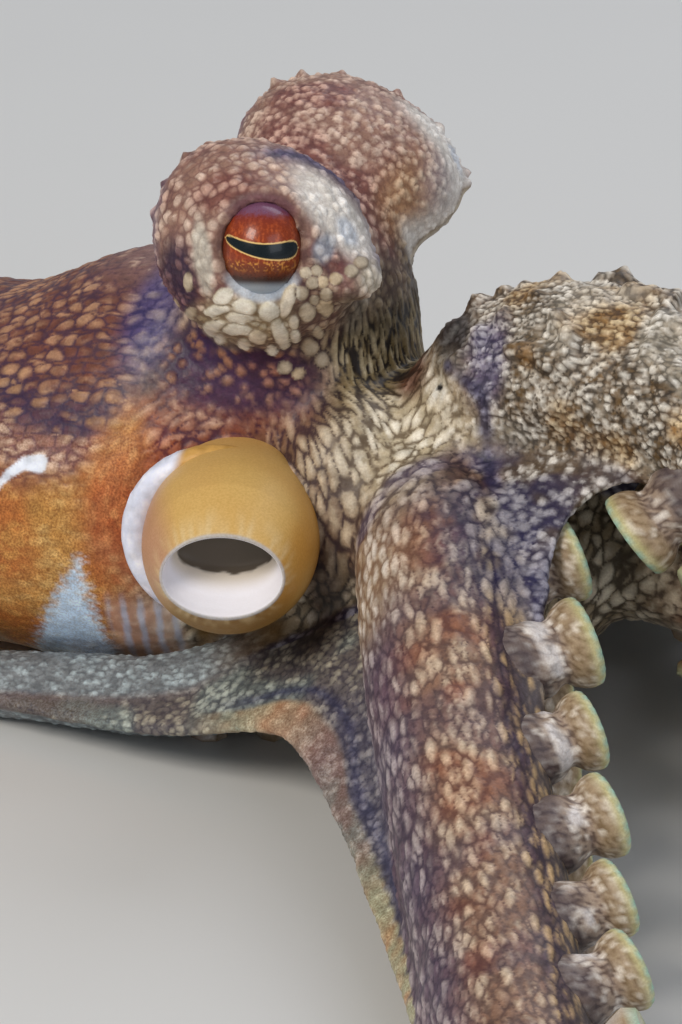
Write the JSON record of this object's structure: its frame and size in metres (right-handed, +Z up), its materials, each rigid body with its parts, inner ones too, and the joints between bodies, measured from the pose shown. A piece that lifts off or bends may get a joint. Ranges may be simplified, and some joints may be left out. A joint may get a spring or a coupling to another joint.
{
  "type": "coconut octopus",
  "caption": "Life-size still model of a coconut octopus sitting on its mantle with raised eyes, open funnel and arms spread on the floor.",
  "frame": {"origin": "On the floor, on the flat under the base of the arms, below the head.", "axes": "+X is the way the head faces, +Y is the animal's left, +Z is up."},
  "size_m": [0.2361, 0.2018, 0.0604],
  "materials": {
    "arm_skin": "tan and cream cells in a dark purple-brown net",
    "eye": "glossy, rust-orange iris with a dark bar of a pupil",
    "funnel_skin": "smooth ochre with a white inner wall",
    "head_skin": "red-brown and purple with cream grains",
    "mantle_skin": "tan cells in a purple net above, fine orange-brown speckle below",
    "web_skin": "grey-blue to purple with dark mottles"
  },
  "bodies": {
    "root": {"arm_l1_a": "arm_skin", "arm_l1_b": "arm_skin", "arm_l1_c": "arm_skin", "arm_l1_d": "arm_skin", "arm_l2_a": "arm_skin", "arm_l2_b": "arm_skin", "arm_l2_c": "arm_skin", "arm_l2_d": "arm_skin", "arm_l3_a": "arm_skin", "arm_l3_b": "arm_skin", "arm_l3_c": "arm_skin", "arm_l3_d": "arm_skin", "arm_l4_a": "arm_skin", "arm_l4_b": "arm_skin", "arm_l4_c": "arm_skin", "arm_l4_d": "arm_skin", "arm_r1_a": "arm_skin", "arm_r1_b": "arm_skin", "arm_r1_c": "arm_skin", "arm_r1_d": "arm_skin", "arm_r2_a": "arm_skin", "arm_r2_b": "arm_skin", "arm_r2_c": "arm_skin", "arm_r2_d": "arm_skin", "arm_r3_a": "arm_skin", "arm_r3_b": "arm_skin", "arm_r3_c": "arm_skin", "arm_r3_d": "arm_skin", "arm_r4_a": "arm_skin", "arm_r4_b": "arm_skin", "arm_r4_c": "arm_skin", "arm_r4_d": "arm_skin", "crown": "head_skin", "eye_left": "eye", "eye_right": "eye", "funnel": "funnel_skin", "head": "head_skin", "mantle": "mantle_skin", "turret_left": "head_skin", "turret_right": "head_skin", "web_l1_r1": "web_skin", "web_l2_l1": "web_skin", "web_l3_l2": "web_skin", "web_l4_l3": "web_skin", "web_r1_r2": "web_skin", "web_r2_r3": "web_skin", "web_r3_r4": "web_skin", "web_r4_l4": "web_skin"}
  },
  "joints": []
}
